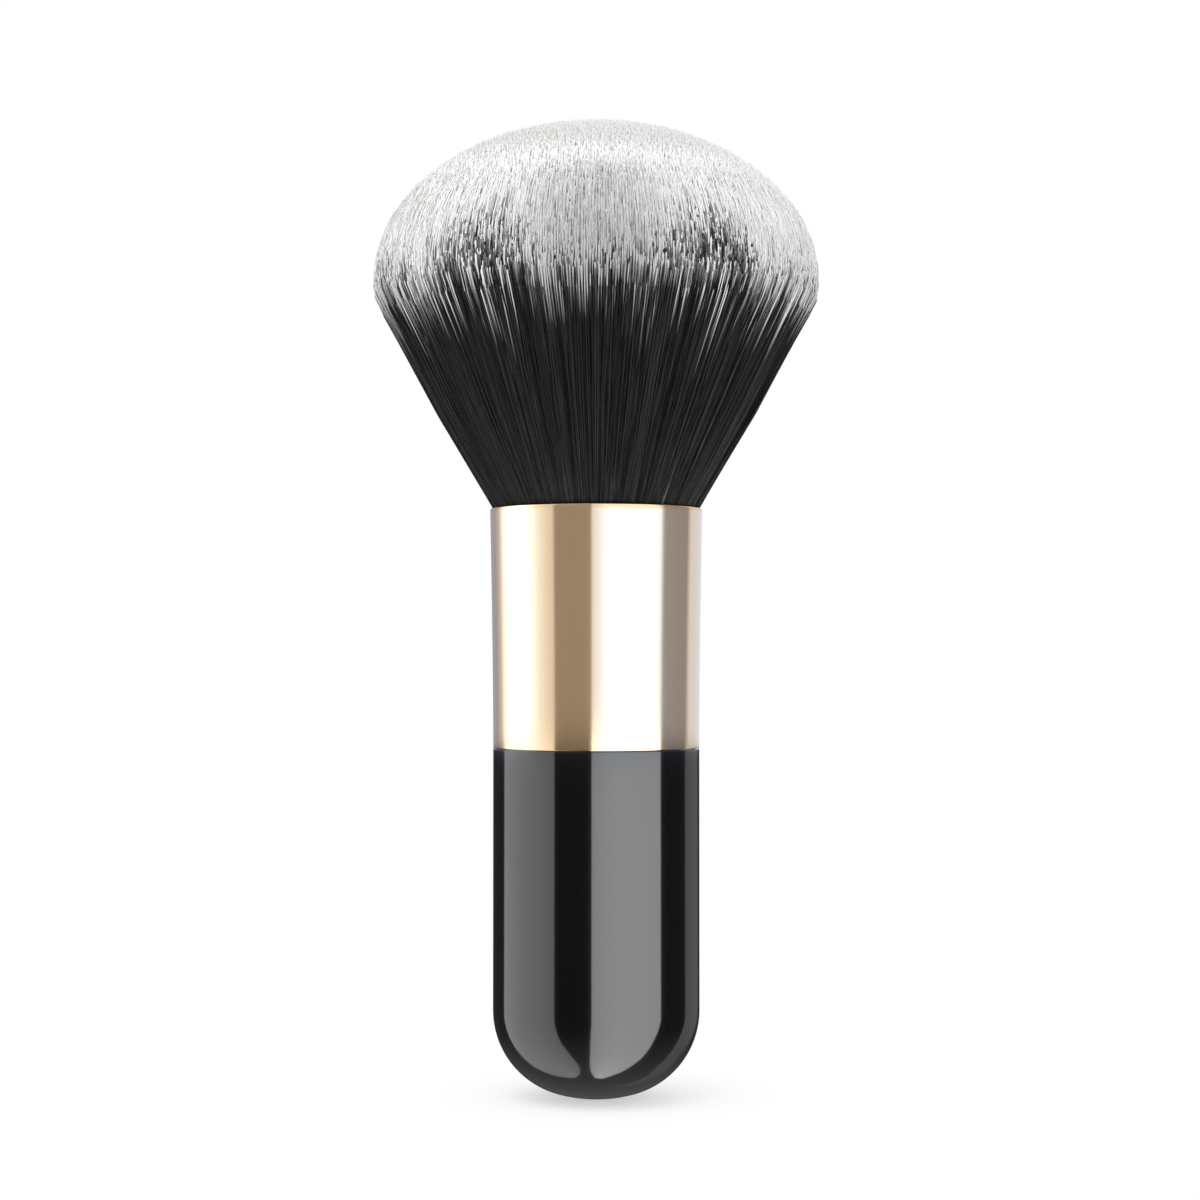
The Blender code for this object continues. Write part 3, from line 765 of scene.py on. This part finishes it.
    # A third of a turn holds every way that three sides can face. Lying ends turn a flat one outwards.
    line_spin = add(MATH, [tone, math.tau / 3], "MULTIPLY")[0]
    lying_spin = add(MAP_RANGE, [tone, 0.0, 1.0, *LYING_SPINS])[0]
    spin = add(MIX, {0: on_line, 2: lying_spin, 3: line_spin})[0]
    curves = add("GeometryNodeSetCurveTilt", {"Curve": curves, "Tilt": spin})[0]
    radius = add(MATH, [given["Thickness"], 0.5], "MULTIPLY")[0]
    fineness_share = add(MIX, {0: on_line, 2: given["Tip Fineness"], 3: 1.0})[0]
    size = add(MATH, [radius, fineness_share], "MULTIPLY")[0]
    section = add("GeometryNodeCurvePrimitiveCircle", {"Resolution": 3, "Radius": 1.0})[0]
    section = add(STORE, {"Geometry": section, "Name": "side", "Value": index})[0]
    mesh = add(
        "GeometryNodeCurveToMesh",
        {"Curve": curves, "Profile Curve": section, "Scale": size, "Fill Caps": True},
    )[0]

    # The bake map: tone across and fade upwards, so that places that share a spot share their colour.
    side = add(STORED, {"Name": "side"})[0]
    stored_fade = add(STORED, {"Name": "fade"})[0]
    across = add(MAP_RANGE, [tone, 0.0, 1.0, 0.02, 0.96])[0]
    across = add(MATH, [side, 0.004, across], "MULTIPLY_ADD")[0]
    upwards = add(MAP_RANGE, [stored_fade, *BAKED_FADES, 0.01, 0.99])[0]
    spot = add("ShaderNodeCombineXYZ", {"X": across, "Y": upwards})[0]
    mesh = add(
        STORE, {"Geometry": mesh, "Name": "OFBake", "Value": spot}, data_type="FLOAT2", domain="CORNER"
    )[0]
    for name in ("side", "step", "filament"):
        mesh = add("GeometryNodeRemoveAttribute", {"Geometry": mesh, "Name": name})[0]
    mesh = add("GeometryNodeSetShadeSmooth", {"Geometry": mesh, "Shade Smooth": False})[0]
    mesh = add("GeometryNodeRealizeInstances", {"Geometry": mesh})[0]
    mesh = add("GeometryNodeSetMaterial", {"Geometry": mesh, "Material": given["Material"]})[0]
    add("NodeGroupOutput", {"Filaments": mesh})
    return tree


def grown(name, tree, values):
    """A plain mesh piece grown by a node tree, whose inputs are given by name."""
    obj = bpy.data.objects.new(name, bpy.data.meshes.new(name + "_seed"))
    bpy.context.scene.collection.objects.link(obj)
    modifier = obj.modifiers.new("grow", "NODES")
    modifier.node_group = tree
    for socket in tree.interface.items_tree:
        if socket.in_out == "INPUT":
            modifier[socket.identifier] = values[socket.name]
    return plain_mesh_of(obj)


class BRUSH_OT_handle(bpy.types.Operator):
    """Turn the lacquered handle, with its domed end and the grooved spigot inside the ferrule"""

    bl_idname = "brush.handle"
    bl_label = "Handle"

    def execute(self, context):
        settings = context.scene.brush_handle
        radius = settings.radius
        knuckle = settings.knuckle_radius
        crown = settings.crown_radius
        shoulder_z = FERRULE_LOW.z - SHOULDER_GAP
        edge = settings.shoulder_round
        spigot = radius - context.scene.brush_ferrule.wall - CLEARANCE
        inset = radius - knuckle
        knuckle_z = crown - math.sqrt((crown - knuckle) ** 2 - inset**2)
        meeting = -math.atan2(crown - knuckle_z, inset)
        bead_low, bead_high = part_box("handle_adhesive")
        groove_low = bead_low.z - CLEARANCE
        groove_high = bead_high.z + CLEARANCE
        groove = spigot - GROOVE_DEPTH
        chamfer = SPIGOT_CHAMFER
        top = HANDLE_HIGH.z
        points = [
            (0.0, top),
            (spigot - chamfer, top),
            (spigot, top - chamfer),
            (spigot, groove_high),
            (groove, groove_high),
            (groove, groove_low),
            (spigot, groove_low),
            (spigot, shoulder_z),
        ]
        points += arc((radius - edge, shoulder_z - edge), edge, math.pi / 2, 0.0, 6)
        barrel_top, barrel_bottom = (radius, shoulder_z - edge - EDGE_STEP), (radius, knuckle_z)
        points.append(barrel_top)
        points += run(barrel_top, barrel_bottom, SIDE_STEPS)
        points += arc((inset, knuckle_z), knuckle, 0.0, meeting, 36)
        points += arc((0.0, crown), crown, meeting, -math.pi / 2, 10)[1:-1]
        points.append((0.0, 0.0))
        obj = turned("handle_lacquered", points, False, lacquer_material(settings))
        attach(obj, "root")
        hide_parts("handle")
        return {"FINISHED"}


class BRUSH_OT_ferrule(bpy.types.Operator):
    """Turn the gold ferrule, a thin tube with a full round at its mouth and a plain cut at its foot"""

    bl_idname = "brush.ferrule"
    bl_label = "Ferrule"

    def execute(self, context):
        settings = context.scene.brush_ferrule
        edge = settings.wall / 2
        radius = HANDLE_HIGH.x
        mouth = (FERRULE_HIGH.x - edge, FERRULE_HIGH.z - edge)
        cut = settings.foot_round
        foot = (radius - edge, FERRULE_LOW.z + cut)
        middle = []
        for step, (_, z) in enumerate(run(foot, mouth, SIDE_STEPS), 1):
            middle.append((foot[0] + (mouth[0] - foot[0]) * (step / SIDE_STEPS) ** FLARE_POWER, z))
        points = arc(mouth, edge, math.pi, 0.0, 10)
        points += [(r + edge, z) for r, z in reversed(middle)]
        points.append((radius, foot[1] + EDGE_STEP))
        points += arc((radius - cut, foot[1]), cut, 0.0, -math.pi / 2, 5)
        points += arc((radius - settings.wall + cut, foot[1]), cut, -math.pi / 2, -math.pi, 5)
        points += [(r - edge, z) for r, z in middle[1::2]]
        obj = turned("ferrule_gold", points, True, gold_material(settings))
        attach(obj, "root")
        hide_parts("ferrule")
        return {"FINISHED"}


class BRUSH_OT_glued_joint(bpy.types.Operator):
    """Give the adhesive bead and the resin plug inside the ferrule their materials"""

    bl_idname = "brush.glued_joint"
    bl_label = "Adhesive and plug"

    def execute(self, context):
        finishes = (
            ("handle_adhesive", "adhesive", "cured_epoxy_adhesive", "#b09a5c", "#d0bd80", 1.5 * MM, 0.35),
            ("resin_plug", "resin", "cast_potting_resin", "#a5863f", "#cbb277", 4.0 * MM, 0.25),
        )
        for node, slot_name, *finish in finishes:
            material = resin_material(*finish)
            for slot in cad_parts[node].material_slots:
                slot.material = material
        return {"FINISHED"}


class BRUSH_OT_bristles(bpy.types.Operator):
    """Grow the filaments and cast the resin root that holds them"""

    bl_idname = "brush.bristles"
    bl_label = "Bristles"

    def execute(self, context):
        settings = context.scene.brush_bristles
        root_bottom = CORE_LOW.z
        root_top = root_bottom + ROOT_THICKNESS
        root_radius = PLUG_HIGH.x
        edge = ROOT_CHAMFER
        points = [(0.0, root_top), (root_radius - edge, root_top), (root_radius, root_top - edge)]
        points += [(root_radius, root_bottom + edge), (root_radius - edge, root_bottom), (0.0, root_bottom)]
        root_material = resin_material("resin_soaked_filaments", "#15130f", "#2c261b", 0.4 * MM, 0.4)
        root = turned("bristle_root", points, False, root_material)
        bristle_nodes = ["bristle_core"]
        bristle_nodes += [f"bristle_sector_{index + 1}" for index in range(SECTOR_COUNT)]
        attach(root, "root")
        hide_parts(*bristle_nodes)

        tree = filament_tree()
        values = {name: getattr(settings, name.lower().replace(" ", "_")) for name in SETTINGS_INPUTS}
        values |= {
            "Filament Count": settings.count,
            "Root Radius": root_radius - ROOT_INSET,
            "Root Height": root_top - ROOT_DEPTH,
            "Mouth Radius": FERRULE_HIGH.x - context.scene.brush_ferrule.wall - MOUTH_INSET,
            "Mouth Height": FERRULE_HIGH.z - MOUTH_DEPTH,
            "Head Centre Height": FERRULE_HIGH.z + settings.widest_height,
            "Material": filament_material(settings),
        }
        pieces = [("bristle_core", "filaments_core", (0.0, 1.0, 0.0, CORE_SHARE, 3, 0.0))]
        for index in range(SECTOR_COUNT):
            sector = FIRST_TURN + index / SECTOR_COUNT, 1.0 / SECTOR_COUNT
            for ring, *shape in RINGS:
                pieces.append((bristle_nodes[index + 1], f"filaments_{ring}_{index + 1}", (*sector, *shape)))
        for node, name, shape in pieces:
            values |= dict(zip(PIECE_INPUTS, shape))
            piece = grown(name, tree, values)
            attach(piece, "root")
            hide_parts(node)
        return {"FINISHED"}


def card_glow(azimuth, cards):
    """The glow of a set of cards at an azimuth, from one card's two levels, which are grey or coloured."""
    for first, last, *levels in cards:
        if first <= azimuth <= last:
            start, end = (Vector(level if isinstance(level, tuple) else (level,) * 3) for level in levels)
            return start.lerp(end, (azimuth - first) / (last - first))


def warped(azimuth, elevation):
    """Where a strip's azimuth has moved to at an elevation, in step with the lower cards' edges."""
    above, below = next(pair for pair in zip(LOWER_EDGES, LOWER_EDGES[1:]) if pair[1][0] <= elevation)
    share = (above[0] - elevation) / (above[0] - below[0])
    straight = (-180.0, *LOWER_EDGES[0][1], 180.0)
    bent = (-180.0, *(first + (last - first) * share for first, last in zip(above[1], below[1])), 180.0)
    for index, (first, last) in enumerate(zip(straight, straight[1:])):
        if first <= azimuth <= last:
            part = (azimuth - first) / (last - first)
            return bent[index] + (bent[index + 1] - bent[index]) * part


def underside_glow(elevation):
    """The light that comes off the floor, more the further down."""
    share = (UNDERSIDE_START - elevation) / (UNDERSIDE_START - UNDERSIDE_END)
    level = UNDERSIDE_GLOW * min(1.0, max(0.0, share))
    return Vector((level, level, level))


def reflected_cards_mesh():
    """Curved cards round the brush, in strips of a sphere, with their glow stored on each face's corners."""
    edges = sorted({edge for card in LOWER_CARDS + UPPER_CARDS for edge in card[:2]})
    azimuths = [edges[0]]
    for edge in edges[1:]:
        steps = max(1, round((edge - azimuths[-1]) / CARD_STRIP))
        azimuths += [azimuths[-1] + (edge - azimuths[-1]) * step / steps for step in range(1, steps + 1)]
    mesh = bpy.data.meshes.new("reflected_cards")
    bm = bmesh.new()
    glow = bm.loops.layers.float_color.new("glow")
    for left, right in zip(azimuths, azimuths[1:]):
        on_left_card = LOWER_EDGES[0][1][0] <= (left + right) / 2 <= LOWER_EDGES[0][1][1]
        for low, high in zip(CARD_ELEVATIONS, CARD_ELEVATIONS[1:]):
            vertices, levels = [], []
            for azimuth, inside, elevation in (
                (left, left + INSIDE_STRIP, low),
                (left, left + INSIDE_STRIP, high),
                (right, right - INSIDE_STRIP, high),
                (right, right - INSIDE_STRIP, low),
            ):
                a, e = math.radians(warped(azimuth, elevation)), math.radians(elevation)
                out, height = CARD_DISTANCE * math.cos(e), CARD_DISTANCE * math.sin(e)
                vertices.append(bm.verts.new((out * math.sin(a), -out * math.cos(a), CARD_CENTRE + height)))
                level = underside_glow(elevation)
                if not (on_left_card and high <= LEFT_CARD_END):
                    level = max(level, card_glow(inside, LOWER_CARDS), key=sum)
                share = (height - CARD_CHANGE_LOW) / (CARD_CHANGE_HIGH - CARD_CHANGE_LOW)
                upper = card_glow(inside, UPPER_CARDS)
                if low >= NEUTRAL_START:
                    upper = Vector((upper.x, upper.x, upper.x))
                levels.append(level.lerp(upper, min(1.0, max(0.0, share))))
            face = bm.faces.new(vertices)
            for loop, level in zip(face.loops, levels):
                loop[glow] = (*level, 1.0)
    e = math.radians(CARD_ELEVATIONS[0])
    out, height = CARD_DISTANCE * math.cos(e), CARD_DISTANCE * math.sin(e)
    turns = [math.tau * part / UNDERSIDE_CORNERS for part in range(UNDERSIDE_CORNERS)]
    rim = [bm.verts.new((out * math.sin(a), out * math.cos(a), CARD_CENTRE + height)) for a in turns]
    face = bm.faces.new(rim)
    for loop in face.loops:
        loop[glow] = (*underside_glow(-90.0), 1.0)
    bm.to_mesh(mesh)
    bm.free()
    return mesh


class BRUSH_OT_studio(bpy.types.Operator):
    """Set up the camera, the pale floor, the soft lights and the cards that the gloss mirrors"""

    bl_idname = "brush.studio"
    bl_label = "Studio"

    def execute(self, context):
        scene = context.scene
        settings = scene.brush_studio
        scene.view_settings.view_transform = "Standard"

        camera = bpy.data.objects.new("camera", bpy.data.cameras.new("camera"))
        camera.data.sensor_width = CAMERA_SENSOR
        camera.data.lens = CAMERA_LENS
        camera.data.clip_start = 10.0 * MM
        camera.location = CAMERA_PLACE
        camera.rotation_euler = (math.pi / 2 + CAMERA_TILT, 0.0, 0.0)
        scene.collection.objects.link(camera)
        scene.camera = camera

        # White behind everything, for the eye and for gloss, and a plainer level that lights the brush.
        world = bpy.data.worlds.new("white_studio")
        world.use_nodes = True
        tree = world.node_tree
        tree.nodes.clear()
        add = partial(add_node, tree)
        seen = add("ShaderNodeLightPath")
        shown = add(MATH, [seen["Is Camera Ray"], seen["Is Glossy Ray"]], "MAXIMUM")[0]
        shown = add(MATH, [shown, seen["Is Transmission Ray"]], "MAXIMUM")[0]
        lit = add("ShaderNodeBackground", {"Color": (1.0, 1.0, 1.0, 1.0), "Strength": settings.ambient})[0]
        white = add("ShaderNodeBackground", {"Color": (1.0, 1.0, 1.0, 1.0), "Strength": 1.0})[0]
        mixed = add("ShaderNodeMixShader", [shown, lit, white])[0]
        add("ShaderNodeOutputWorld", {"Surface": mixed})
        scene.world = world

        # Near the brush the floor shows its own light and the brush's soft shadow. Further off it fades
        # into the white background, for the camera alone.
        bm = bmesh.new()
        bmesh.ops.create_grid(bm, x_segments=1, y_segments=1, size=FLOOR_REACH)
        floor_mesh = bpy.data.meshes.new("floor")
        bm.to_mesh(floor_mesh)
        bm.free()
        floor = bpy.data.objects.new("floor", floor_mesh)
        material, tree, shader = new_material("matt_white_paper")
        feed(tree, shader, {"Base Color": settings.floor, "Roughness": 0.9})
        add = partial(add_node, tree)
        place = add("ShaderNodeTexCoord")["Object"]
        distance = add(VECTOR_MATH, [place], "LENGTH")["Value"]
        fading = distance, 0.0, FLOOR_FADE_END, FLOOR_LEAST_FADE
        far = add(MAP_RANGE, fading, interpolation_type="SMOOTHSTEP")[0]
        seen = add("ShaderNodeLightPath")["Is Camera Ray"]
        cover = add(MATH, [far, seen], "MULTIPLY")[0]
        white = add("ShaderNodeEmission", {"Color": (1.0, 1.0, 1.0, 1.0), "Strength": 1.0})[0]
        paper = add("ShaderNodeMixShader", [cover, shader.outputs[0], white])[0]
        tree.links.new(paper, tree.nodes["Material Output"].inputs["Surface"])
        material.cycles.emission_sampling = "NONE"
        floor_mesh.materials.append(material)
        floor.visible_glossy = False
        scene.collection.objects.link(floor)

        cards = bpy.data.objects.new("reflected_cards", reflected_cards_mesh())
        material = bpy.data.materials.new("card_glow")
        material.use_nodes = True
        tree = material.node_tree
        tree.nodes.clear()
        glow = add_node(tree, "ShaderNodeAttribute", attribute_name="glow")["Color"]
        light = add_node(tree, "ShaderNodeEmission", {"Color": glow, "Strength": 1.0})[0]
        add_node(tree, "ShaderNodeOutputMaterial", {"Surface": light})
        material.cycles.emission_sampling = "NONE"
        cards.data.materials.append(material)
        for rays in ("camera", "diffuse", "transmission", "volume_scatter", "shadow"):
            setattr(cards, "visible_" + rays, False)
        scene.collection.objects.link(cards)

        middle = Vector((0.0, 0.0, (CAD_BOX[0].z + CAD_BOX[1].z) / 2))
        lamps = (
            ("softbox_above", (-0.25, -0.35, 0.85), 0.6, settings.key_power),
            ("softbox_front", (0.35, -0.75, 0.25), 0.5, settings.fill_power),
        )
        for name, place, width, power in lamps:
            lamp = bpy.data.lights.new(name, "AREA")
            lamp.shape = "DISK"
            lamp.size = width
            lamp.energy = power
            obj = bpy.data.objects.new(name, lamp)
            obj.location = place
            obj.rotation_euler = (middle - Vector(place)).to_track_quat("-Z", "Y").to_euler()
            obj.visible_glossy = False
            scene.collection.objects.link(obj)
        return {"FINISHED"}


class BRUSH_PT_panel(bpy.types.Panel):
    """Lists the brush's steps"""

    bl_label = "Powder Brush"
    bl_idname = "BRUSH_PT_panel"
    bl_space_type = "VIEW_3D"
    bl_region_type = "UI"
    bl_category = "Brush"

    def draw(self, context):
        for operator, settings_name in STEPS:
            self.layout.operator(operator.bl_idname)
            settings = getattr(context.scene, settings_name, None)
            if settings:
                for name in settings.__annotations__:
                    self.layout.prop(settings, name)


STEPS = (
    (BRUSH_OT_studio, "brush_studio"),
    (BRUSH_OT_handle, "brush_handle"),
    (BRUSH_OT_ferrule, "brush_ferrule"),
    (BRUSH_OT_glued_joint, ""),
    (BRUSH_OT_bristles, "brush_bristles"),
)
SETTINGS = {
    "brush_handle": BRUSH_PG_handle,
    "brush_ferrule": BRUSH_PG_ferrule,
    "brush_bristles": BRUSH_PG_bristles,
    "brush_studio": BRUSH_PG_studio,
}


def register():
    for group in SETTINGS.values():
        bpy.utils.register_class(group)
    for operator, _ in STEPS:
        bpy.utils.register_class(operator)
    bpy.utils.register_class(BRUSH_PT_panel)
    for name, group in SETTINGS.items():
        setattr(bpy.types.Scene, name, bpy.props.PointerProperty(type=group))


def unregister():
    for name in SETTINGS:
        delattr(bpy.types.Scene, name)
    bpy.utils.unregister_class(BRUSH_PT_panel)
    for operator, _ in STEPS:
        bpy.utils.unregister_class(operator)
    for group in SETTINGS.values():
        bpy.utils.unregister_class(group)


def main():
    register()
    bpy.ops.brush.studio()
    bpy.ops.brush.handle()
    bpy.ops.brush.ferrule()
    bpy.ops.brush.glued_joint()
    bpy.ops.brush.bristles()


if __name__ == "__main__":
    main()
